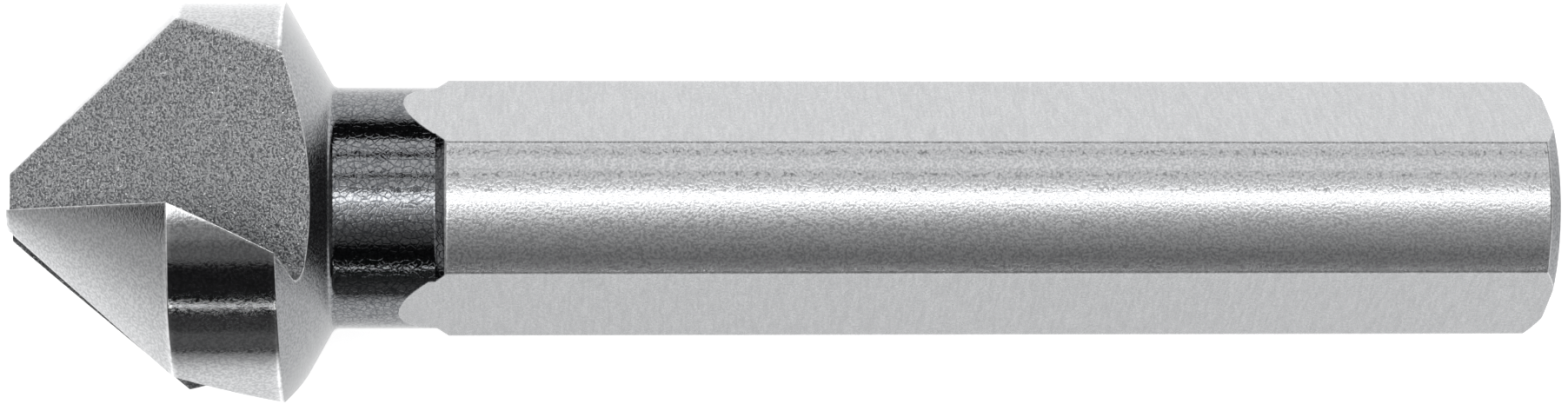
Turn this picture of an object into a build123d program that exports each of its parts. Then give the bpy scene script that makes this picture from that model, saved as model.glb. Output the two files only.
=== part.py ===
from build123d import *
from math import atan, cos, degrees, radians, sin, sqrt, tan
import os

# Countersink bit: a short cone cutter with three teeth, on a straight shank with three flats.
# It is one bar of hardened steel, turned and then ground, so it is one solid.
# Millimetres. The bit is worked out along its own axis first: X runs from the tip to the
# shank's end, and angles are counted about that axis from +Z towards +Y.
# Last it is laid down as it comes to rest, on one flat of its shank and on its head.

# Turned blank
overall_length = 60.0
head_diameter = 16.5
tip_diameter = 3.2
point_angle = 90.0
land_length = 3.95
back_angle = 61.0
neck_diameter = 9.43
neck_length = 4.0
neck_fillet = 0.4
shank_diameter = 10.0
shoulder_length = 0.45
end_chamfer = 0.5

# Teeth: each one is ground about a centre of its own, so it falls away behind its edge
tooth_count = 3
edge_angle = 1.6
relief_offset = 0.36
relief_lead = 90.0
seam_lead = 30.0

# Flutes: a floor and a rake face meet in a rounded groove that rises towards the shank
root_height = 0.3
root_side = -0.65
root_rise = 25.8
root_skew = -12.0
root_radius = 0.5
groove_angle = 60.0
floor_tilt = 1.75

# Shank flats: their front ends run out on to the neck, each at a slightly different place
flat_distance = 4.35
flat_lead = 0.6
flat_shifts = (0.1, 0.0, -0.1)
flat_turn = 60.0
run_out_angle = 17.0

# How far a cutting tool passes beyond the metal that it removes
clear_of_metal = 3.0
clear_of_neck = 0.2

# Worked out from the sizes above
head_radius = head_diameter / 2
tip_radius = tip_diameter / 2
neck_radius = neck_diameter / 2
shank_radius = shank_diameter / 2
tooth_pitch = 360.0 / tooth_count
cone_slope = tan(radians(point_angle / 2))
back_slope = tan(radians(back_angle))
cone_length = (head_radius - tip_radius) / cone_slope
land_end = cone_length + land_length
neck_start = land_end + (head_radius - neck_radius) / back_slope
neck_end = neck_start + neck_length
shank_start = neck_end + shoulder_length
relief_radius = sqrt(
    head_radius**2 + relief_offset**2
    - 2 * head_radius * relief_offset * cos(radians(relief_lead))
)


def turned(angle):
    """Turn about the bit's own axis, from +Z towards +Y."""
    return Rot(-angle, 0, 0)


def outline(points):
    """Half of a turned solid's section, from its (x, radius) points."""
    return make_face(Plane.XZ * Polyline(*points, close=True))


def turned_blank():
    """The bar after turning: cone, land, back cone, neck and shank."""
    section = outline([
        (0, 0),
        (0, tip_radius),
        (cone_length, head_radius),
        (land_end, head_radius),
        (neck_start, neck_radius),
        (neck_end, neck_radius),
        (shank_start, shank_radius),
        (overall_length - end_chamfer, shank_radius),
        (overall_length, shank_radius - end_chamfer),
        (overall_length, 0),
    ])
    corner = section.vertices().sort_by_distance((neck_start, 0, neck_radius))[0]
    return revolve(fillet(corner, neck_fillet), Axis.X)


def relief(tooth):
    """What is ground off one tooth, outside a cone and land about an offset centre."""
    reach = head_radius + clear_of_metal
    spread = reach * tan(radians(tooth_pitch / 2))
    third = make_face(Polyline((0, 0), (spread, reach), (-spread, reach), close=True))
    sector = extrude(Plane.YZ * third, neck_start)
    middle = edge_angle + seam_lead - tooth_pitch / 2
    envelope = revolve(outline([
        (cone_length - relief_radius / cone_slope, 0),
        (cone_length, relief_radius),
        (neck_start + clear_of_metal, relief_radius),
        (neck_start + clear_of_metal, 0),
    ]), Axis.X)
    offset_centre = turned(edge_angle + relief_lead) * Pos(0, 0, relief_offset)
    shell = turned(middle) * sector - offset_centre * envelope
    return turned(tooth * tooth_pitch) * shell


def flute(tooth):
    """What the wheel takes out in front of one tooth: a wedge carried along its root line."""
    along = Vector(1, tan(radians(root_skew)), tan(radians(root_rise))).normalized()
    across = Vector(0, 1, -tan(radians(floor_tilt)))
    floor_normal = along.cross(across).normalized()
    root = Vector(0, root_side, root_height) - along * clear_of_metal
    plane = Plane(origin=root, x_dir=floor_normal.cross(along), z_dir=along)
    reach = head_diameter + clear_of_metal
    opening = radians(groove_angle)
    far_side = (reach * cos(opening), reach * sin(opening))
    wedge = make_face(Polyline((0, 0), (reach, 0), far_side, close=True))
    corner = wedge.vertices().sort_by_distance((0, 0, 0))[0]
    wedge = fillet(corner, root_radius)
    path = (neck_start + clear_of_metal) / along.X + clear_of_metal
    groove = extrude(plane * wedge, path)
    return turned(tooth * tooth_pitch) * groove


def flat(index):
    """What is ground off for one flat of the shank, with the ramp where it runs out."""
    start = shank_start - flat_lead + flat_shifts[index]
    top = shank_radius + clear_of_metal
    ramp_top = neck_radius + clear_of_neck
    ramp_length = (ramp_top - flat_distance) / tan(radians(run_out_angle))
    profile = outline([
        (start, flat_distance),
        (overall_length + clear_of_metal, flat_distance),
        (overall_length + clear_of_metal, top),
        (start - ramp_length, top),
        (start - ramp_length, ramp_top),
    ])
    block = extrude(profile, shank_radius, both=True)
    return turned(flat_turn + index * tooth_pitch) * block


def lay_down(bit):
    """Lay the bit on its lower flat and its head, with the middle of its foot at the origin."""
    lower_centre = radians(edge_angle - tooth_pitch + relief_lead)
    head_drop = relief_radius - relief_offset * cos(lower_centre)
    contact = land_end + (head_radius - head_drop) / back_slope
    tilt = degrees(atan((head_drop - flat_distance) / (overall_length - contact)))
    bit = Rot(0, tilt, 0) * bit
    box = bit.bounding_box()
    print("rest tilt", round(tilt, 3), "degrees")
    return Pos(-box.center().X, -box.center().Y, -box.min.Z) * bit


bit = turned_blank()
for tooth in range(tooth_count):
    bit -= relief(tooth)
for tooth in range(tooth_count):
    bit -= flute(tooth)
for index in range(len(flat_shifts)):
    bit -= flat(index)

os.makedirs("parts", exist_ok=True)
countersink_bit = lay_down(bit)
export_step(countersink_bit, "parts/countersink_bit.step")
print("length", overall_length, "head", head_diameter, "shank", shank_diameter)
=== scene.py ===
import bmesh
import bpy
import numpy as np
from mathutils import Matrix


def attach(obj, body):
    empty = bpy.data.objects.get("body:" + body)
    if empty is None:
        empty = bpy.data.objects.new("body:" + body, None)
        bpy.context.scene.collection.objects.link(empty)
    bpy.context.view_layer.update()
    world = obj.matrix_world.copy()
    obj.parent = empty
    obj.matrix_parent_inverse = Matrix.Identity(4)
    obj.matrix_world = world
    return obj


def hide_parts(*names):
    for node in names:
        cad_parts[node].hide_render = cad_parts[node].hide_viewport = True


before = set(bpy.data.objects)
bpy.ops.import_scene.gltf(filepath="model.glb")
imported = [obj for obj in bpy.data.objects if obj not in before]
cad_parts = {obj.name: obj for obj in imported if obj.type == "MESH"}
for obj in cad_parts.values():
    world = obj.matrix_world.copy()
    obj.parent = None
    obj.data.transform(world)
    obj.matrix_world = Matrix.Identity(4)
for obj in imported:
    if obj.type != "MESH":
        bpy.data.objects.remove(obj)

# %% [markdown]
# # A countersink bit, ground from one bar of steel
#
# The bit is a single piece: a cone with three cutting teeth, a neck, and a shank with three flats.
# The frame that was just loaded holds its true shape, in metres, lying as it comes to rest.
# This lesson keeps that size, builds the bit again as one fine surface, and gives each ground or
# turned part of it the finish that its own machine leaves.

scene = bpy.context.scene
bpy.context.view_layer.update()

# %% [markdown]
# ## The camera
#
# The picture looks straight down on the bit from 18 cm, as one holds a camera over a bench.
# The turns of a fraction of a degree were fitted, so that the rims fall where the picture has
# them. A long lens so near still shows a little perspective: the head looks a touch large.

# %% Set up the camera
lens = bpy.data.cameras.new("bench_camera")
lens.sensor_width = 36.0
lens.lens = 102.67
lens.clip_start = 0.01
camera = bpy.data.objects.new("bench_camera", lens)
camera.location = (0.00267, -0.0010006, 0.182222)
camera.rotation_euler = np.radians((0.30972, 0.86068, -0.02941))
scene.collection.objects.link(camera)
scene.camera = camera
print("camera height, mm:", round(camera.location.z * 1000, 1))

# %% [markdown]
# ## The blank's sizes
#
# The bit is worked out along its own axis, in millimetres: x runs from the tip to the shank's
# end, and angles are counted about that axis from up (+z) towards the back (+y). Every corner of
# a real ground tool is a little round. A rim of 0.045 mm is too fine to measure in the picture,
# but it is what catches the light as a thin bright line, so it is built. On top of it the finishes
# lighten the colour at each corner, partly as wear and partly as a painted highlight.

# %% Name the sizes
tip_radius, head_radius, neck_radius, shank_radius = 1.6, 8.25, 4.715, 5.0
land_length, neck_length, shoulder_length, overall_length = 3.95, 4.0, 0.45, 60.0
end_chamfer, neck_fillet, back_angle = 0.5, 0.4, np.radians(61.0)
cone_length = head_radius - tip_radius
land_end = cone_length + land_length
neck_start = land_end + (head_radius - neck_radius) / np.tan(back_angle)
neck_end = neck_start + neck_length
shank_start = neck_end + shoulder_length
rim = 0.045
print("head ends at", round(neck_start, 2), "mm, shank starts at", round(shank_start, 2), "mm")

# %% [markdown]
# ## The teeth
#
# Behind its cutting edge each tooth falls away, or it would rub and not cut. The grinder does
# this with a circle about a centre that is set 0.36 mm off the axis. One formula gives the
# radius at any angle, with a smooth minimum where the cone, the land and the back cone meet.

# %% Work out the outside of the head
edge_angle, seam_lead, relief_lead, relief_offset = 1.6, 30.0, 90.0, 0.36
relief_radius = np.hypot(head_radius, relief_offset)


def soft_min(a, b, width):
    """The smaller of a and b, less a parabola where they are nearer than width: a round corner."""
    return np.minimum(a, b) - np.maximum(width - np.abs(a - b), 0) ** 2 / (4 * width)


def tooth_radius(angle, x):
    """Distance from the axis to a circle about the tooth's own centre, by the law of cosines,
    kept inside the turned cone, land and back cone."""
    lead = np.radians((angle + 120 - edge_angle - seam_lead) % 120 - 120 + seam_lead - relief_lead)
    drop = -soft_min(0 * x, x - cone_length, rim)
    own = np.sqrt((relief_radius - drop) ** 2 - (relief_offset * np.sin(lead)) ** 2)
    relieved = relief_offset * np.cos(lead) + own
    back_cone = head_radius - (x - land_end) * np.tan(back_angle)
    return soft_min(relieved, soft_min(head_radius - drop, back_cone, rim), rim / 2)


print("radius at the edge and at the heel, mm:",
      tooth_radius(np.array([edge_angle, -60.0]), 9.0).round(3))

# %% [markdown]
# ## The flutes
#
# A flute is the groove in front of a tooth. A wheel with a 60 degree rim cuts it: one side
# leaves the flat floor, the other leaves the rake face under the edge, and the rim's tip leaves
# a round root. Its wall is one path in the section, and that path slides up the root line as x
# grows, until it leaves the steel on the back cone.

# %% Work out the flute's wall
root_side, root_height, root_skew, root_rise = -0.65, 0.3, np.radians(-12.0), np.radians(25.8)
along = np.array([1.0, np.tan(root_skew), np.tan(root_rise)])
floor_tilt, opening, root_radius = np.radians(1.75), np.radians(60.0), 0.5
floor_normal = np.cross(along, (0.0, 1.0, -np.tan(floor_tilt)))
floor_normal /= np.linalg.norm(floor_normal)
floor_side = np.cross(floor_normal, along / np.linalg.norm(along))
in_section = [(v - along * v[0])[1:] for v in (floor_side, floor_normal)]
half_root = root_radius * (np.pi - opening) / 2


def flute_wall(w, x):
    """Point (y, z) at arc length w from the root's middle: a straight rake face for low w, a
    circle about the root, and a straight floor for high w, slid along the root line to x."""
    turn = opening / 2 + np.pi + np.clip(w, -half_root, half_root) / root_radius
    middle = root_radius / np.tan(opening / 2), root_radius
    rake = np.maximum(-w - half_root, 0)
    floor = np.maximum(w - half_root, 0)
    p = middle[0] + root_radius * np.cos(turn) + floor + rake * np.cos(opening)
    q = middle[1] + root_radius * np.sin(turn) + rake * np.sin(opening)
    y = root_side + x * along[1] + p * in_section[0][0] + q * in_section[1][0]
    z = root_height + x * along[2] + p * in_section[0][1] + q * in_section[1][1]
    return np.stack([y, z], axis=-1)


def angle_of(point):
    """Angle of (y, z) points about the axis, in degrees."""
    return np.degrees(np.arctan2(point[..., 0], point[..., 1]))


def above_steel(w, x):
    """How far the wall's point lies outside the tooth, below zero inside it."""
    point = flute_wall(w, x)
    return np.hypot(point[..., 0], point[..., 1]) - tooth_radius(angle_of(point), x)


print("root at the tip, mm:", flute_wall(0.0, 0.0).round(3))

# %% [markdown]
# ## Where the wall meets the outside
#
# The cutting edge and the heel are where the wall leaves the tooth. No formula gives them in
# one step, so each is closed in on by halving: start from the wall's deepest point and go out to
# either side. All sections are solved together as arrays. Where the wall lies less than half a
# thousandth of a millimetre deep, it counts as closed, and edge and heel are one point.

# %% Find the edge and the heel
too_shallow, halvings = 0.0005, 48


def flute_span(x):
    """Arc lengths of edge and heel at each x, by halving the gap again and again, and the
    deepest w."""
    trial = np.repeat(np.linspace(-6.0, 9.0, 1501)[None], len(x), axis=0)
    for step in (0.01, 0.001, 0.0001):
        deepest = trial[np.arange(len(x)), np.argmin(above_steel(trial, x[:, None]), axis=1)]
        trial = deepest[:, None] + step * np.linspace(-1, 1, 21)
    ends = []
    for far in (-12.0, 14.0):
        inside, outside = deepest, np.full_like(x, far)
        for _ in range(halvings):
            middle = (inside + outside) / 2
            wet = above_steel(middle, x) < 0
            inside, outside = np.where(wet, middle, inside), np.where(wet, outside, middle)
        ends.append(np.where(above_steel(deepest, x) < -too_shallow, inside, deepest))
    return ends[0], ends[1], deepest


scan = np.linspace(11.5, 12.3, 1601)
flute_end = scan[above_steel(flute_span(scan)[2], scan) < 0][-1]
print("the flutes run out at", round(float(flute_end), 3), "mm")

# %% [markdown]
# ## One third of a section
#
# A surface made as a grid needs the same number of points in every section. So each third of
# the head gets its points by name: so many round the edge, down the rake face, round the root,
# along the floor, round the heel, and over the next land. Where the flute runs out, its points
# close up to one, and doubles are merged later. On the back cone the heel is three times as
# round as the cutting edge, and it catches a broader line of light.

# %% Lay points around the head
n_rim, n_rake, n_root, n_floor, n_land = 4, 10, 8, 22, 72
n_wall = n_rim + n_rake + n_root + n_floor + n_rim
rim_crowd, heel_growth, heel_grows_over = 1.8, 2.0, 0.3


def between(a, b, steps, crowd=1.0):
    """Values from a to b, one row for each section: a + (b - a) t^crowd, crowded near a if
    crowd is above 1."""
    return a[:, None] + (b - a)[:, None] * np.linspace(0, 1, steps + 1) ** crowd


def polar(angle, radius):
    """Point (y, z) at an angle in degrees and a radius."""
    turn = np.radians(angle)
    return np.stack([radius * np.sin(turn), radius * np.cos(turn)], axis=-1)


def bend(a, corner, b, steps=n_rim):
    """Quadratic curve from a to b that leans to the corner: a weighs (1 - t) squared, the corner
    2 t (1 - t), and b weighs t squared."""
    t = np.linspace(0, 1, steps + 1)[:, None]
    a, corner, b = (np.asarray(p)[..., None, :] for p in (a, corner, b))
    return (1 - t) ** 2 * a + 2 * t * (1 - t) * corner + t ** 2 * b


def head_third(x):
    """Edge, rake face, root, floor, heel and land of one third of the head, at each x. Edge and
    heel are quadratic curves, from a rim's length before the corner to a rim's length behind."""
    w_edge, w_heel, _ = flute_span(x)
    small = np.minimum(rim, 0.2 * (w_heel - w_edge))
    heel_rim = small * (1 + heel_growth * np.clip((x - land_end) / heel_grows_over, 0, 1))
    edge, heel = flute_wall(w_edge, x), flute_wall(w_heel, x)
    shift = np.degrees(small / np.hypot(edge[:, 0], edge[:, 1]))
    last = angle_of(edge) - shift
    first = angle_of(heel) + np.degrees(heel_rim / np.hypot(heel[:, 0], heel[:, 1]))
    low, high = w_edge + small, w_heel - heel_rim
    root_in, root_out = np.clip(-half_root, low, high), np.clip(half_root, low, high)
    wall = np.concatenate([between(low, root_in, n_rake, rim_crowd)[:, 1:],
                           between(root_in, root_out, n_root)[:, 1:],
                           between(high, root_out, n_floor, rim_crowd)[:, -2::-1]], axis=1)
    edge = bend(polar(last, tooth_radius(last, x)), edge, flute_wall(low, x))
    heel = bend(flute_wall(high, x), heel, polar(first, tooth_radius(first, x)))[:, 1:]
    land = between(first, last + 120, n_land)[:, 1:-1]
    column = x[:, None]
    land = polar(land, tooth_radius(land, column))
    return np.concatenate([edge, flute_wall(wall, column), heel, land], axis=1)


print("points in a third:", head_third(np.array([5.0])).shape[1])

# %% [markdown]
# ## The shank and its flats
#
# Behind the flutes the section is a circle, cut by up to three straight flats. A flat is a plain
# d / cos(angle) in polar form. Its points sit in the middle of each third: they close up just
# where the flat's ramp first touches the neck, and open again as it cuts deeper. Each flat starts
# at a slightly different place along the bit.

# %% Lay points around the neck and shank
n_side, n_flat = 20, 24
centre = 60  # the angle of the flat's middle in its third, in degrees
flat_distance, ramp, flat_lead = 4.35, np.tan(np.radians(17.0)), 0.6
flat_starts = shank_start - flat_lead + np.array([0.1, 0.0, -0.1])
flat_opens = flat_starts - (neck_radius - flat_distance) / ramp


def shank_third(x, radius, index, seam):
    """Round, flat and round again for one third of each section. The flat's half angle is
    acos(d / r), and d grows by the ramp's slope in front of the flat's start."""
    deep = flat_distance + np.maximum(flat_starts[index] - x, 0) * ramp
    cut = np.degrees(np.arccos(np.clip(deep / radius, -1, 1)))
    wait = (flat_opens[index] - x) / (flat_opens[index] - flute_end)
    on_flat = wait <= 0
    half = np.where(on_flat, cut, wait * centre * (n_flat + 2 * n_rim) / n_land)
    small = np.where(on_flat, np.minimum(2 * rim, 0.2 * np.radians(cut) * radius), 0)
    shift = np.degrees(small / radius)
    inner = half * n_flat / (n_flat + 2 * n_rim)
    reach = radius * np.sin(np.radians(cut)) - small
    flat_ends = [polar(centre, deep) + side * reach[:, None] * polar(centre + 90, 1.0)
                 for side in (-1, 1)]
    pick = on_flat[:, None, None]
    ring = radius[:, None]
    left, right = centre - half, centre + half
    first = bend(polar(left - shift, radius), polar(left, radius), flat_ends[0])
    last = bend(flat_ends[1], polar(right, radius), polar(right + shift, radius))
    middle = bend(flat_ends[0], (flat_ends[0] + flat_ends[1]) / 2, flat_ends[1], n_flat)
    first = np.where(pick, first, polar(between(left, centre - inner, n_rim), ring))
    closed = polar(between(centre - inner, centre + inner, n_flat), ring)
    middle = np.where(pick, middle, closed)
    last = np.where(pick, last, polar(between(centre + inner, right, n_rim), ring))
    before = polar(between(seam, left - shift, n_side), ring)
    after = polar(between(right + shift, 120 + seam, n_side), ring)
    return np.concatenate([before[:, :-1], first[:, :-1], middle, last[:, 1:], after[:, 1:-1]],
                          axis=1)


print("flats start at", flat_starts.round(2), "mm")

# %% [markdown]
# ## Where to cut the sections
#
# Sections stand close together where something turns a corner: the cone's rim, the back cone's
# rim, the place where the flutes run out, and the ramps of the flats. Elsewhere a few are enough.
# The corners of the turned outline, from the neck's end to the end face, are listed as marks.

# %% Choose the sections
rim_front, rim_back = land_end - 0.02, land_end + 0.2
run_out = (1 - np.linspace(0, 1, 27)) ** 2
head_x = np.concatenate([
    np.linspace(0, cone_length - rim, 44), cone_length + rim * np.linspace(-0.6, 1, 6),
    np.linspace(cone_length + rim, rim_front, 24)[1:],
    np.linspace(rim_front, rim_back, 26)[1:-1],
    flute_end - (flute_end - rim_back) * run_out])
fillet_end = neck_start + neck_fillet * np.tan(back_angle / 2)
first_touch, ramp_rows = np.array([0, 0.004, 0.015, 0.035, 0.065]), np.arange(15.42, 16.3, 0.08)
neck_x = np.unique(np.concatenate([
    np.linspace(fillet_end, flat_opens.min(), 16)[1:],
    *(opens + first_touch for opens in flat_opens),
    ramp_rows, flat_starts, [16.36, 16.46, neck_end]]))
fillet_turn = np.linspace(back_angle, 0, 9)[:, None]
fillet_middle = np.array([fillet_end, neck_radius + neck_fillet])
fillet = fillet_middle - neck_fillet * np.concatenate(
    [np.sin(fillet_turn), np.cos(fillet_turn)], axis=1)
marks = np.array([[neck_end, neck_radius], [shank_start, shank_radius],
                  [overall_length - end_chamfer, shank_radius],
                  [overall_length, shank_radius - end_chamfer], [overall_length, 0]])


def round_mark(i, reach=0.05):
    """Quadratic curve round the outline's corner i, from reach before it to reach behind it."""
    here = marks[i]
    to = [reach * (marks[j] - here) / np.linalg.norm(marks[j] - here) for j in (i - 1, i + 1)]
    return bend(here + to[0], here, here + to[1])


print("sections on the head:", len(head_x), "on the neck:", len(neck_x))

# %% [markdown]
# ## The blank's outline
#
# Behind the flutes the bit is a turned shape, so a list of (x, radius) points is all it needs. The
# real blank has a small fillet where the back cone meets the neck, which keeps it from cracking
# there. Rows stand close on both sides of each corner, so that the bright edge stays narrow.

# %% Write the outline behind the flutes
def straight(a, b, steps):
    """Points of the outline on a straight run between two (x, radius) points, ends left out."""
    return a + (b - a) * np.linspace(0, 1, steps + 1)[1:-1, None]


flute_exit = np.array([flute_end, head_radius - (flute_end - land_end) * np.tan(back_angle)])
beside_corner = np.array([[0.1, 0], [0.2, 0]])
outline = np.concatenate([
    straight(flute_exit, fillet[0], 8), fillet,
    np.stack([neck_x, np.full_like(neck_x, neck_radius)], axis=1),
    straight(marks[0], marks[1] - 0.04, 7), round_mark(1), marks[1] + beside_corner,
    straight(marks[1] + beside_corner[1], marks[2] - beside_corner[1], 36),
    marks[2] - beside_corner[::-1], round_mark(2),
    straight(round_mark(2)[-1], round_mark(3)[0], 10), round_mark(3)])
print("sections behind the flutes:", len(outline))

# %% [markdown]
# ## One skin from tip to end
#
# The three thirds are turned by 120 degrees each and set side by side, and the sections are set
# one behind the other. Where the flutes end, the thirds meet at 1.75 degrees, and that angle
# settles to nothing before the flats begin. A last turn of 4.17 degrees about y, and a shift, will
# bring the bit's own axis to where the frame has it.

# %% Put the skin together
rest_tilt, rest_shift = np.radians(4.17226), np.array([-30.03814, -0.28258, 8.70379])
seam_at_flutes = 1.75
settle = np.clip((outline[:, 0] - flute_end) / (flat_opens.min() - flute_end), 0, 1)
seam = seam_at_flutes * (1 - settle ** 2 * (3 - 2 * settle))


def turned(points, degrees):
    """Turn (y, z) points about the axis, from +z towards +y."""
    c, s = np.cos(np.radians(degrees)), np.sin(np.radians(degrees))
    return points @ np.array([[c, -s], [s, c]])


def third(index):
    """One third of the whole skin: head sections, then neck and shank sections behind them."""
    shank = shank_third(outline[:, 0], outline[:, 1], index, seam)
    shank = np.concatenate([np.repeat(shank[:, :1], n_wall, axis=1), shank], axis=1)
    return turned(np.concatenate([head_third(head_x), shank]), 120 * index)


section = np.concatenate([third(index) for index in range(3)], axis=1)
station = np.concatenate([head_x, outline[:, 0]])
along_axis = np.broadcast_to(station[:, None, None], section.shape[:2] + (1,))
skin = np.concatenate([along_axis, section], axis=2)
rows, columns = skin.shape[:2]
print("grid of", rows, "by", columns, "points")

# %% [markdown]
# ## Wear and painted highlight at each corner
#
# Edges of a used or handled tool are brighter than its faces. Here the lighter colour at the
# corners is partly that wear and partly a painted highlight, the thin bright line along each edge.
# The distance to the nearest corner is known here, along the section and along the length, so it
# is kept as a value on the mesh that the finishes can read. It fades as a bell curve of 0.07 mm.
# Where a corner doesn't reach a place, such as the land's rim inside a flute, the distance there
# is set to a far value.

# %% Measure the distance to the corners
wear_width, far_off = 0.07, 9.0


def nearest(length, corners):
    """Smallest distance along one grid direction to any of the named corner lines."""
    return np.min([np.abs(length - np.take(length, [c], axis=0)) for c in corners], axis=0)


ring_step = np.linalg.norm(np.diff(skin, axis=1, append=skin[:, :1]), axis=2)
ring_length = np.cumsum(ring_step, axis=1).T
row_step = np.linalg.norm(np.diff(skin, axis=0), axis=2)
row_length = np.concatenate([np.zeros((1, columns)), np.cumsum(row_step, axis=0)])
flat_corner = n_wall + n_side + n_rim // 2
per_third = n_wall + n_land
head_corners = [k * per_third + c for k in range(3) for c in (n_rim // 2, n_wall - n_rim // 2)]
shank_corners = [k * per_third + c for k in range(3)
                 for c in (flat_corner, flat_corner + n_flat + n_rim)]
to_head, to_flat = nearest(ring_length, head_corners).T, nearest(ring_length, shank_corners).T
behind = station[:, None] > flute_end
to_flat[station < flat_opens.max()] = far_off
across = (0, cone_length, land_end + 0.05, shank_start, overall_length - end_chamfer)
across_rows = [int(np.argmin(np.abs(station - x))) for x in across]
to_row = nearest(row_length, across_rows)
place = np.arange(columns) % per_third
on_flat = (place >= flat_corner) & (place < flat_corner + n_flat + n_rim)
to_row[:, place < n_wall] = far_off
to_row[np.ix_(station > flat_opens.max(), on_flat)] = far_off
corner_distance = np.minimum(np.where(behind, to_flat, to_head), to_row)
# Mask of wear and painted edge highlight: a bell curve of the distance to a corner.
rub_and_sheen = np.exp(-(corner_distance / wear_width) ** 2)
print("share of the skin near a corner:", round(float((rub_and_sheen > 0.5).mean()), 3))

# %% [markdown]
# ## Which finish goes where
#
# The grid also knows which part each face belongs to, so the finishes are given by row and
# column and not by looking for them afterwards: relieved tooth, flute, neck, flat, shank, sawn
# end, and the turned back cone. Each later line overrules the ones before it.

# %% Name the finishes
finish_names = ["relieved_tooth", "ground_flute", "turned_neck", "ground_flat",
                "ground_shank", "sawn_end", "turned_back"]
finish = {name: slot for slot, name in enumerate(finish_names)}
part = np.full((rows - 1, columns), finish["relieved_tooth"], dtype=np.int32)
part[:, place < n_wall] = finish["ground_flute"]
cell_x = (station[:-1] + station[1:])[:, None] / 2
cell_radius = np.linalg.norm(skin[:-1, :, 1:] + skin[1:, :, 1:], axis=2) / 2
on_back_cone = cell_radius > head_radius - (cell_x - land_end) * np.tan(back_angle) - 0.02
part[(cell_x > land_end) & on_back_cone & (place >= n_wall - 2)] = finish["turned_back"]
part[station[:-1] >= flute_end] = finish["turned_back"]
part[station[:-1] >= neck_start - 0.05] = finish["turned_neck"]
part[station[:-1] >= neck_end + 0.3] = finish["ground_shank"]
for index, opens in enumerate(flat_opens):
    own = on_flat & (np.arange(columns) // per_third == index)
    part[np.ix_(station[:-1] >= opens, own)] = finish["ground_flat"]
part[np.ix_(station[:-1] > overall_length - end_chamfer, ~on_flat)] = finish["turned_back"]
print("faces by finish:", dict(zip(finish_names, np.bincount(part.ravel()).tolist())))

# %% [markdown]
# ## From arrays to a mesh
#
# Each cell of the grid is one face, and the two ends are closed by one flat face each. Then
# doubles are merged, which turns the closed-up points into clean corners. The shading normals
# are the face normals weighted by area, so the broad faces stay flat and only the rims turn.

# %% Build the mesh
def lay_down(points):
    """Turn about y by the rest tilt, shift, and go from millimetres to metres."""
    c, s = np.cos(rest_tilt), np.sin(rest_tilt)
    return (points @ np.array([[c, 0, -s], [0, 1, 0], [s, 0, c]]) + rest_shift) / 1000


row, column = np.meshgrid(np.arange(rows - 1), np.arange(columns), indexing="ij")
beside = (column + 1) % columns
faces = np.stack([row * columns + column, (row + 1) * columns + column,
                  (row + 1) * columns + beside, row * columns + beside], axis=-1)
end_columns = [c for c in range(columns) if c % per_third >= n_wall]
tip_face = list(range(columns))
end_face = [(rows - 1) * columns + c for c in reversed(end_columns)]
skin_mesh = bpy.data.meshes.new("countersink_skin")
skin_mesh.from_pydata(lay_down(skin.reshape(-1, 3)).tolist(), [],
                      faces.reshape(-1, 4).tolist() + [tip_face, end_face])
slots = np.append(part.ravel(), 2 * [finish["sawn_end"]]).astype(np.int32)
skin_mesh.polygons.foreach_set("material_index", slots)
# The corner mask goes on the mesh; finishes lighten their colour by it, as wear and painted
# highlight.
wear_values = skin_mesh.attributes.new("rub_and_sheen", "FLOAT", "POINT").data
wear_values.foreach_set("value", rub_and_sheen.ravel().astype(np.float32))
around = np.stack([row_length, ring_length.T], axis=-1).reshape(-1, 2) / overall_length
loop_point = np.empty(len(skin_mesh.loops), dtype=np.int32)
skin_mesh.loops.foreach_get("vertex_index", loop_point)
way = skin_mesh.uv_layers.new(name="way").uv
way.foreach_set("vector", around[loop_point].astype(np.float32).ravel())
print("faces before merging:", len(skin_mesh.polygons))

# %% [markdown]
# ## Doubles and normals
#
# Where a flute or a flat closes up, many grid points lie in one place. Merging them leaves no
# slits, so the skin is closed, as the steel is. The normals are set one by one, because an even
# average would bend the broad flats towards their narrow rims. Only the two end faces, the caps,
# have more than four corners by far, and they keep their own normals.

# %% Merge the doubles and weigh the normals
merge_distance, sliver_length, cap_corners = 8e-7, 2e-7, 8
shape = bmesh.new()
shape.from_mesh(skin_mesh)
bmesh.ops.remove_doubles(shape, verts=shape.verts, dist=merge_distance)
bmesh.ops.dissolve_degenerate(shape, edges=shape.edges, dist=sliver_length)
open_edges = sum(1 for e in shape.edges if not e.is_manifold)
shape.to_mesh(skin_mesh)
shape.free()


def read(items, name, width, kind=np.float32):
    """One value of every face, loop or point as a numpy array."""
    out = np.empty(len(items) * width, dtype=kind)
    items.foreach_get(name, out)
    return out.reshape(-1, width) if width > 1 else out


polygons = skin_mesh.polygons
count = read(polygons, "loop_total", 1, np.int32)
area, normal = read(polygons, "area", 1), read(polygons, "normal", 3)
point = read(skin_mesh.loops, "vertex_index", 1, np.int32)
cap = np.repeat(count > cap_corners, count)
weighted = np.repeat(normal * area[:, None], count, axis=0)
total = np.zeros((len(skin_mesh.vertices), 3))
np.add.at(total, point[~cap], weighted[~cap])
total /= np.maximum(np.linalg.norm(total, axis=1, keepdims=True), 1e-20)
polygons.foreach_set("use_smooth", np.ones(len(polygons), dtype=bool))
flat_normal = np.repeat(normal, count, axis=0)
skin_mesh.normals_split_custom_set(np.where(cap[:, None], flat_normal, total[point]))
print("triangles:", int((count - 2).sum()), "open edges:", open_edges)

# %% [markdown]
# ## In place of the plain solid
#
# The skin stands exactly where the frame's own node is, so it takes that node's place, and the
# node is hidden.
# It rides on the root body: the bit has no joint, and all of it moves together.

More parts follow.
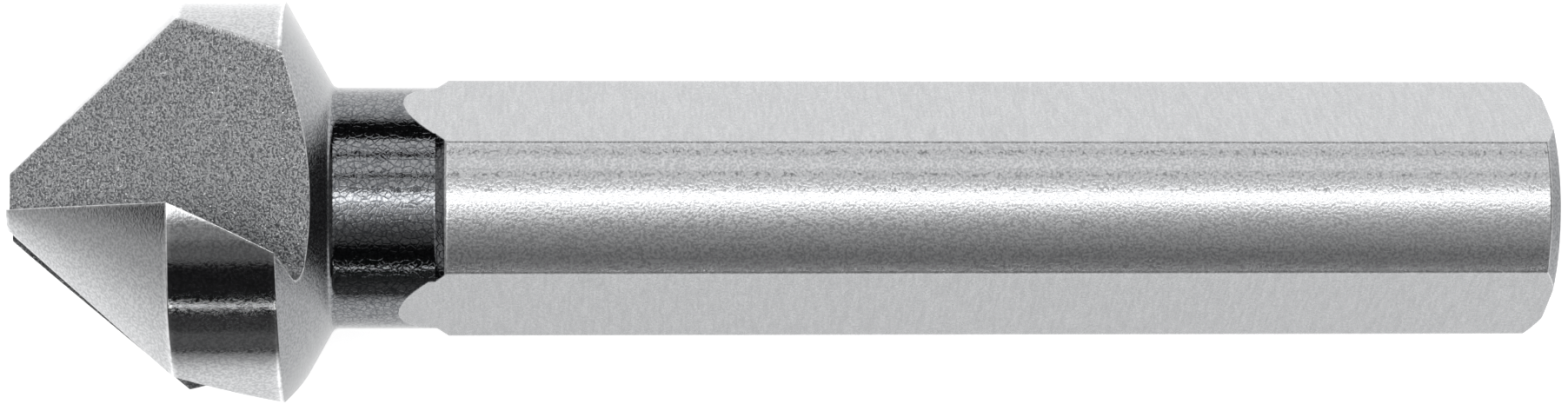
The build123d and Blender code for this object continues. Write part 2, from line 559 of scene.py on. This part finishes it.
# %% Stand it in the frame's place
skin_piece = bpy.data.objects.new("countersink_skin", skin_mesh)
scene.collection.objects.link(skin_piece)
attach(skin_piece, "root")
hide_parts("countersink_bit")
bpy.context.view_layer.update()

# %% [markdown]
# ## Patterns in the steel
#
# Four patterns make all the finishes: marks that run round the bit, a fine grain, a crazed skin,
# and bright worn corners. Each is a node group, made once, and read in millimetres along the
# bit's own axis, so that 0.1 in a material is a tenth of a millimetre on the steel.

# %% Helpers for node groups
def new_group(name, inputs, output):
    """An empty shader node group with float or vector inputs and one float output."""
    group = bpy.data.node_groups.new(name, "ShaderNodeTree")
    for label, start in inputs.items():
        kind = "NodeSocketVector" if start is None else "NodeSocketFloat"
        socket = group.interface.new_socket(label, in_out="INPUT", socket_type=kind)
        if start is not None:
            socket.default_value = start
    group.interface.new_socket(output, in_out="OUTPUT", socket_type="NodeSocketFloat")
    return group, group.nodes.new("NodeGroupInput").outputs, group.nodes.new("NodeGroupOutput")


def add(tree, kind, values=(), **settings):
    """A node with its settings, then values or links for its inputs, by name or number."""
    node = tree.nodes.new(kind)
    for key, value in settings.items():
        setattr(node, key, value)
    for key, value in dict(values).items():
        if isinstance(value, bpy.types.NodeSocket):
            tree.links.new(value, node.inputs[key])
        else:
            node.inputs[key].default_value = value
    return node


def maths(tree, operation, *values):
    """One step of arithmetic, as a node."""
    return add(tree, "ShaderNodeMath", enumerate(values), operation=operation).outputs[0]


def stretched(tree, place, lengthwise, crosswise):
    """A place multiplied by one number along the axis and by another across it."""
    factors = add(tree, "ShaderNodeCombineXYZ", {0: lengthwise, 1: crosswise, 2: crosswise})
    values = {0: place, 1: factors.outputs[0]}
    return add(tree, "ShaderNodeVectorMath", values, operation="MULTIPLY").outputs[0]


def noise(tree, place, detail, roughness):
    """Noise with one cell for each unit of the place."""
    values = {"Vector": place, "Scale": 1.0, "Detail": detail, "Roughness": roughness}
    return add(tree, "ShaderNodeTexNoise", values).outputs[0]


print("helpers for node groups ready")

# %% [markdown]
# ## Grinding marks
#
# A wheel or a lathe leaves fine lines that run round the bit. They are noise squeezed along the
# axis and drawn out across it. The group gives only a height, and each finish says how deep.

# %% Grinding marks
grinding_marks, given, result = new_group(
    "grinding_marks", {"Position": None, "Spacing": 0.08, "Length": 2.0}, "Height")
lengthwise = maths(grinding_marks, "DIVIDE", 1.0, given["Spacing"])
crosswise = maths(grinding_marks, "DIVIDE", 1.0, given["Length"])
squeezed = stretched(grinding_marks, given["Position"], lengthwise, crosswise)
lines = noise(grinding_marks, squeezed, 3.0, 0.6)
grinding_marks.links.new(lines, result.inputs["Height"])
print("made the group", grinding_marks.name)

# %% [markdown]
# ## Grain
#
# Hard steel that was ground dry looks like fine sand. One group serves as grain, as cloudy
# patches, and as single bright flecks or dark pits: a high level and a strong contrast keep only
# the peaks of the noise.

# %% Grain
fine_grain, given, result = new_group(
    "fine_grain",
    {"Position": None, "Size": 0.1, "Stretch": 1.0, "Level": 0.5, "Contrast": 2.0}, "Value")
lengthwise = maths(fine_grain, "DIVIDE", 1.0, given["Size"])
crosswise = maths(fine_grain, "MULTIPLY", lengthwise, given["Stretch"])
squeezed = stretched(fine_grain, given["Position"], lengthwise, crosswise)
centred = maths(fine_grain, "SUBTRACT", noise(fine_grain, squeezed, 2.0, 0.55), given["Level"])
sharper = maths(fine_grain, "MULTIPLY_ADD", centred, given["Contrast"], 0.5)
kept = maths(fine_grain, "MINIMUM", maths(fine_grain, "MAXIMUM", sharper, 0.0), 1.0)
fine_grain.links.new(kept, result.inputs["Value"])
print("made the group", fine_grain.name)

# %% [markdown]
# ## A crazed skin
#
# The neck is not ground after hardening, and its scale cracks into little cells. Cell noise knows
# the distance to the nearest border, so a smooth step of it is a flat cell with sunken borders.

# %% Crazed skin
crazed_skin, given, result = new_group(
    "crazed_skin", {"Position": None, "Cell": 0.28, "Gap": 0.2}, "Height")
cells = add(crazed_skin, "ShaderNodeTexVoronoi", {
    "Vector": given["Position"], "Scale": maths(crazed_skin, "DIVIDE", 1.0, given["Cell"]),
    "Randomness": 0.9}, feature="DISTANCE_TO_EDGE")
filled = add(crazed_skin, "ShaderNodeMapRange", {
    "Value": cells.outputs["Distance"], "From Max": given["Gap"]},
    interpolation_type="SMOOTHSTEP")
crazed_skin.links.new(filled.outputs[0], result.inputs["Height"])
print("made the group", crazed_skin.name)

# %% [markdown]
# ## Worn corners and painted edge highlight
#
# The mesh carries how near each point is to a corner. The group reads that value and breaks it up
# with noise, so that the bright line along an edge is not the same everywhere. The lighter colour
# it gives is partly wear and partly a painted highlight along the edge.

# %% Worn corners and painted edge highlight
rubbed_corner_sheen, given, result = new_group(
    "rubbed_corner_sheen", {"Position": None, "Amount": 1.0}, "Mask")
near = add(rubbed_corner_sheen, "ShaderNodeAttribute", attribute_name="rub_and_sheen").outputs["Fac"]
patchy = noise(rubbed_corner_sheen, stretched(rubbed_corner_sheen, given["Position"], 4.0, 4.0), 3.0, 0.5)
broken = add(rubbed_corner_sheen, "ShaderNodeMapRange", {
    "Value": patchy, "From Min": 0.35, "From Max": 0.6, "To Min": 0.35}).outputs[0]
mask = maths(rubbed_corner_sheen, "MULTIPLY", maths(rubbed_corner_sheen, "MULTIPLY", near, broken),
             given["Amount"])
rubbed_corner_sheen.links.new(mask, result.inputs["Mask"])
print("made the group", rubbed_corner_sheen.name)

# %% [markdown]
# ## How a finish is put together
#
# Every finish is bare steel, so it differs only in colour, roughness and relief. The place is
# turned back to lie along the bit's own axis and is counted in millimetres. Marks round the bit
# spread a reflection along the axis, which is why some finishes get a direction.

# %% Helpers for a finish
def new_steel(name, metallic=1.0):
    """A material of bare steel, and the place on the bit in millimetres along its own axis."""
    steel = bpy.data.materials.new(name)
    steel.use_nodes = True
    tree = steel.node_tree
    shader = tree.nodes["Principled BSDF"]
    shader.inputs["Metallic"].default_value = metallic
    where = add(tree, "ShaderNodeTexCoord")
    own = add(tree, "ShaderNodeMapping", {
        "Vector": where.outputs["Object"], "Location": rest_shift / 1000,
        "Rotation": (0, rest_tilt, 0), "Scale": (0.001, 0.001, 0.001)}, vector_type="TEXTURE")
    skin_mesh.materials.append(steel)
    return tree, shader, own.outputs[0]


def pattern(tree, group, place, **values):
    """A node group placed in a material with its own values."""
    node = add(tree, "ShaderNodeGroup", node_tree=group)
    tree.links.new(place, node.inputs["Position"])
    for key, value in values.items():
        node.inputs[key].default_value = value
    return node.outputs[0]


def cool(level):
    """A grey a little towards blue."""
    return level, level + 0.005, level + 0.013


def blend(tree, amount, low, high):
    """A colour between two colours or greys, by an amount from 0 to 1."""
    low, high = (cool(c) if isinstance(c, float) else c for c in (low, high))
    low, high = ((*c, 1.0) if isinstance(c, tuple) else c for c in (low, high))
    mix = add(tree, "ShaderNodeMix", data_type="RGBA")
    for socket, value in ((mix.inputs[0], amount), (mix.inputs[6], low), (mix.inputs[7], high)):
        if isinstance(value, bpy.types.NodeSocket):
            tree.links.new(value, socket)
        else:
            socket.default_value = value
    return mix.outputs[2]


def between_values(tree, amount, low, high):
    """A plain number between low and high, by an amount from 0 to 1."""
    return maths(tree, "MULTIPLY_ADD", amount, high - low, low)


def relief(tree, *layers):
    """Bump nodes, one on the other, for (height, depth in metres) layers."""
    normal = None
    for height, depth in layers:
        values = {"Height": height, "Distance": depth, "Strength": 1.0}
        if normal is not None:
            values["Normal"] = normal
        normal = add(tree, "ShaderNodeBump", values).outputs[0]
    return normal


def dress(tree, shader, color, roughness, normal):
    """Feed a finish to the shader."""
    tree.links.new(color, shader.inputs["Base Color"])
    tree.links.new(roughness, shader.inputs["Roughness"])
    tree.links.new(normal, shader.inputs["Normal"])


def brush(tree, shader, amount):
    """Spread reflections along the axis, which is the first direction of the mesh's own map."""
    shader.inputs["Anisotropic"].default_value = amount
    way = add(tree, "ShaderNodeTangent", direction_type="UV_MAP", uv_map="way")
    tree.links.new(way.outputs[0], shader.inputs["Tangent"])


print("helpers for a finish ready")

# %% [markdown]
# ## Relieved teeth
#
# Cone and land are ground last and finest, and they mirror the studio almost cleanly. So they stay
# smooth, with only a thin grain. Their edges are lightened in colour, partly as wear and partly as
# a painted highlight, and they are the brightest lines of the whole bit.

# %% Relieved teeth
tree, shader, place_mm = new_steel("relieved_tooth")
grain = pattern(tree, fine_grain, place_mm, Size=0.11, Contrast=5.0)
cloud = pattern(tree, fine_grain, place_mm, Size=0.6, Contrast=2.5)
turning = pattern(tree, grinding_marks, place_mm, Spacing=0.09, Length=1.2)
rubbed_sheen = pattern(tree, rubbed_corner_sheen, place_mm, Amount=1.0)
# Corners lighter in colour: wear and a painted edge highlight.
color = blend(tree, rubbed_sheen, blend(tree, grain, 0.37, 0.52), 0.9)
rough = maths(tree, "ADD", between_values(tree, grain, 0.05, 0.1),
              between_values(tree, cloud, 0.0, 0.04))
dress(tree, shader, color, rough, relief(tree, (grain, 8e-7), (turning, 3e-7)))
brush(tree, shader, 0.7)
print("finish 1: relieved teeth")

# %% [markdown]
# ## Ground flutes
#
# The flute is ground in one deep pass with a coarse wheel. It looks like matt sand, with single
# bright flecks that catch the light and single dark pits, and with slow cloudy changes of tone.

# %% Ground flutes
tree, shader, place_mm = new_steel("ground_flute")
grain = pattern(tree, fine_grain, place_mm, Size=0.09, Contrast=6.0)
cloud = pattern(tree, fine_grain, place_mm, Size=0.7, Contrast=3.0)
flecks = pattern(tree, fine_grain, place_mm, Size=0.17, Stretch=1.8, Level=0.66, Contrast=14.0)
pits = pattern(tree, fine_grain, place_mm, Size=0.15, Stretch=1.4, Level=0.65, Contrast=12.0)
rubbed_sheen = pattern(tree, rubbed_corner_sheen, place_mm, Amount=1.0)
color = blend(tree, grain, 0.17, 0.53)
color = blend(tree, between_values(tree, cloud, 0.0, 0.35), color, 0.3)
color = blend(tree, flecks, color, 0.95)
color = blend(tree, maths(tree, "MULTIPLY", pits, 0.7), color, 0.12)
# Corners lighter in colour: wear and a painted edge highlight.
color = blend(tree, rubbed_sheen, color, 0.9)
dress(tree, shader, color, between_values(tree, grain, 0.28, 0.42),
      relief(tree, (grain, 7e-6), (flecks, 1.2e-5)))
print("finish 2: ground flutes")

# %% [markdown]
# ## Turned neck
#
# The neck keeps its dark skin from hardening. It is glossy and nearly black, and only in the
# brightest reflection do the cells of the crazing stand out one by one.

# %% Turned neck
tree, shader, place_mm = new_steel("turned_neck")
grain = pattern(tree, fine_grain, place_mm, Size=0.09, Contrast=4.0)
crazing = pattern(tree, crazed_skin, place_mm, Cell=0.26, Gap=0.13)
turning = pattern(tree, grinding_marks, place_mm, Spacing=0.12, Length=2.0)
rubbed_sheen = pattern(tree, rubbed_corner_sheen, place_mm, Amount=0.6)
color = blend(tree, grain, 0.14, 0.26)
color = blend(tree, maths(tree, "MULTIPLY_ADD", crazing, 0.6, 0.4), 0.03, color)
# Corners lighter in colour: wear and a painted edge highlight.
color = blend(tree, rubbed_sheen, color, 0.4)
dress(tree, shader, color, between_values(tree, grain, 0.04, 0.08),
      relief(tree, (crazing, 2e-6), (grain, 8e-7), (turning, 3e-7)))
print("finish 3: turned neck")

# %% [markdown]
# ## Ground flats
#
# A chuck grips the flats, so they are ground flat but not fine. Pale streaks run across them, the
# way the wheel went. They scatter the light so widely that they look like satin, and so the flat
# that faces the windows is paler than the one that faces away.

# %% Ground flats
tree, shader, place_mm = new_steel("ground_flat", metallic=0.6)
grain = pattern(tree, fine_grain, place_mm, Size=0.1, Contrast=5.0)
streaks = pattern(tree, fine_grain, place_mm, Size=0.14, Stretch=0.12, Contrast=4.0)
turning = pattern(tree, grinding_marks, place_mm, Spacing=0.1, Length=0.8)
rubbed_sheen = pattern(tree, rubbed_corner_sheen, place_mm, Amount=0.35)
color = blend(tree, turning, 0.36, 0.53)
color = blend(tree, between_values(tree, streaks, 0.0, 0.4), color, 0.58)
color = blend(tree, between_values(tree, grain, 0.0, 0.5), color, 0.4)
# Corners lighter in colour: wear and a painted edge highlight.
color = blend(tree, rubbed_sheen, color, 0.75)
dress(tree, shader, color, between_values(tree, grain, 0.22, 0.34),
      relief(tree, (turning, 3e-6), (grain, 1.5e-6)))
print("finish 4: ground flats")

# %% [markdown]
# ## Ground shank
#
# The round of the shank is ground to size between the flats. It mirrors the cards as long bands,
# and a share of the light is lost in fine scratches and comes back as an even haze. A metal value
# below one gives that haze, here as on the flats.

# %% Ground shank
tree, shader, place_mm = new_steel("ground_shank", metallic=0.65)
grain = pattern(tree, fine_grain, place_mm, Size=0.1, Contrast=5.0)
turning = pattern(tree, grinding_marks, place_mm, Spacing=0.1, Length=1.5)
rubbed_sheen = pattern(tree, rubbed_corner_sheen, place_mm, Amount=0.35)
# Corners lighter in colour: wear and a painted edge highlight.
color = blend(tree, rubbed_sheen, blend(tree, grain, 0.38, 0.56), 0.75)
dress(tree, shader, color, between_values(tree, grain, 0.14, 0.24),
      relief(tree, (grain, 2.6e-6), (turning, 1e-6)))
brush(tree, shader, 0.7)
print("finish 5: ground shank")

# %% [markdown]
# ## Sawn ends
#
# The end of the shank was only cut off, so it is the plainest face: grey, matt and even. The
# small flat at the tip has the same finish.

# %% Sawn ends
tree, shader, place_mm = new_steel("sawn_end")
grain = pattern(tree, fine_grain, place_mm, Size=0.12, Contrast=2.5)
dress(tree, shader, blend(tree, grain, 0.42, 0.6), between_values(tree, grain, 0.25, 0.4),
      relief(tree, (grain, 4e-6)))
print("finish 6: sawn ends")

# %% [markdown]
# ## Turned back cone and chamfer
#
# Nothing is cut with the back cone, so it keeps the lathe's surface: darker than the land, and
# rough enough to blur the black of the neck beside it into a soft shade.

# %% Turned back cone
tree, shader, place_mm = new_steel("turned_back")
grain = pattern(tree, fine_grain, place_mm, Size=0.1, Contrast=4.0)
turning = pattern(tree, grinding_marks, place_mm, Spacing=0.1, Length=1.5)
rubbed_sheen = pattern(tree, rubbed_corner_sheen, place_mm, Amount=0.8)
# Corners lighter in colour: wear and a painted edge highlight.
color = blend(tree, rubbed_sheen, blend(tree, grain, 0.18, 0.31), 0.85)
dress(tree, shader, color, between_values(tree, grain, 0.14, 0.26),
      relief(tree, (grain, 3e-6), (turning, 1e-6)))
print("finishes:", [m.name for m in skin_mesh.materials])

# %% [markdown]
# ## The light
#
# Polished steel shows its surroundings, so the light is a tent of soft cards around the bit's
# length. Each card fills an arc of the tent, counted from straight up, and the gaps between
# cards show as the dark lines that run along the shank.

# %% Make a card
tent_radius, tent_length = 0.6, 0.75


def card(name, start, stop, radiance, length=tent_length):
    """An area light on the tent between two angles. Its width is 2 R tan(half the angle between
    them), and its power is pi times its area times the radiance that it should show."""
    middle, half = np.radians((start + stop) / 2), np.radians((stop - start) / 2)
    light = bpy.data.lights.new(name, "AREA")
    light.shape = "RECTANGLE"
    light.size, light.size_y = length, 2 * tent_radius * np.tan(half)
    light.energy = np.pi * light.size * light.size_y * radiance
    lamp = bpy.data.objects.new(name, light)
    lamp.location = (0, tent_radius * np.sin(middle), tent_radius * np.cos(middle))
    lamp.rotation_euler = (-middle, 0, 0)
    lamp.visible_camera = False
    scene.collection.objects.link(lamp)
    return lamp


def end_card(name, start, stop, radiance, side, width=1.0):
    """The same card at an end of the tent, between two heights above the floor in degrees."""
    lamp = card(name, start, stop, radiance, width)
    up = np.radians((start + stop) / 2)
    lamp.location = (side * tent_radius * np.cos(up), 0, tent_radius * np.sin(up))
    lamp.rotation_euler = (0, side * (np.pi / 2 - up), 0)
    lamp.data.size, lamp.data.size_y = lamp.data.size_y, lamp.data.size
    return lamp


print("tent radius, m:", tent_radius, "length, m:", tent_length)

# %% [markdown]
# ## Hang the cards
#
# The bright overhead card makes the white band along the shank. Three windows behind it make the
# pale bands above, and dim cards in front make the slow fall to black. One card hangs only over
# the tip's side, where it whitens the corner of the land and leaves the neck dark. Each entry
# gives the arc's start and stop in degrees, then the radiance.

# %% Hang the cards
cards = {
    "overhead": (4.5, 14.5, 4.0), "overhead_edge": (-4, 4.5, 1.2),
    "overhead_skirt": (-12, -4, 0.72), "window_near": (17, 28, 1.15),
    "window_high": (32, 48.5, 1.35), "window_low": (53.5, 67, 1.35),
    "far_strip": (-59.1, -57.9, 3.2), "dim_near": (-22, -12, 0.34),
    "dim_high": (-34, -22, 0.16), "dim_low": (-75, -63, 0.05), "dim_lowest": (-88, -75, 0.13),
}
for name, (start, stop, radiance) in cards.items():
    card(name, start, stop, radiance)
tip_side = card("overhead_tip_side", -9.5, 4.5, 1.7, length=0.37)
tip_side.location.x = -0.201
end_card("tip_end", 3, 75, 0.45, -1)
end_card("shank_end", 3, 75, 0.12, 1)

# %% [markdown]
# ## Light the floor
#
# The floor has to be white all round, also in the bit's shade. One more card lights it from behind
# the bit. It is kept out of mirror reflections, or the shank would show it as another band.

# %% Light the floor from the back
fill = card("floor_fill", 50, 70, 2.4)
fill.visible_glossy = False
print("power of the fill, W:", round(fill.data.energy, 2))

# %% [markdown]
# ## The floor
#
# A sheet of pale paper with a painted pool of light: it glows near the bit, like a light table,
# and the painted glow darkens with distance, because the sides of the bit mirror it: the far floor
# gives them their shade.

# %% Lay the floor
half = 3.0
corners = [(-half, -half, 0), (half, -half, 0), (half, half, 0), (-half, half, 0)]
floor_mesh = bpy.data.meshes.new("floor")
floor_mesh.from_pydata(corners, [], [(0, 1, 2, 3)])
floor = bpy.data.objects.new("floor", floor_mesh)
scene.collection.objects.link(floor)
paper = bpy.data.materials.new("pale_floor_painted_glow")
paper.use_nodes = True
tree = paper.node_tree
shader = tree.nodes["Principled BSDF"]
shader.inputs["Base Color"].default_value = (0.6, 0.6, 0.6, 1)
shader.inputs["Roughness"].default_value = 0.8
shader.inputs["Specular IOR Level"].default_value = 0.2
where = add(tree, "ShaderNodeTexCoord").outputs["Object"]
far = add(tree, "ShaderNodeVectorMath", {0: where}, operation="LENGTH")
# Painted pool of light: emission bright under the bit and fading outward.
painted_light_pool = add(tree, "ShaderNodeValToRGB", {0: maths(tree, "MULTIPLY", far.outputs["Value"], 2.5)})
stops = ((0.0, 0.82), (0.1, 0.82), (0.15, 0.6), (0.22, 0.3), (0.35, 0.08), (1.0, 0.03))
ramp = painted_light_pool.color_ramp.elements
while len(ramp) < len(stops):
    ramp.new(0.5)
for element, (spot, value) in zip(ramp, stops):
    element.position, element.color = spot, (value, value, value, 1)
tree.links.new(painted_light_pool.outputs[0], shader.inputs["Emission Color"])
shader.inputs["Emission Strength"].default_value = 1.0
floor_mesh.materials.append(paper)
print("floor, m:", 2 * half)

# %% [markdown]
# ## The room
#
# The room behind the cards is nearly black, and that is what makes the gaps between them dark.
# Seen directly, past the floor's edge, it is a plain light grey.

# %% Light the room
scene.view_settings.view_transform = "Standard"
world = bpy.data.worlds.new("studio")
scene.world = world
world.use_nodes = True
background = world.node_tree.nodes["Background"]
path = add(world.node_tree, "ShaderNodeLightPath").outputs["Is Camera Ray"]
room = blend(world.node_tree, path, (0.015, 0.015, 0.016), (0.6, 0.61, 0.62))
world.node_tree.links.new(room, background.inputs["Color"])
print("room:", world.name)
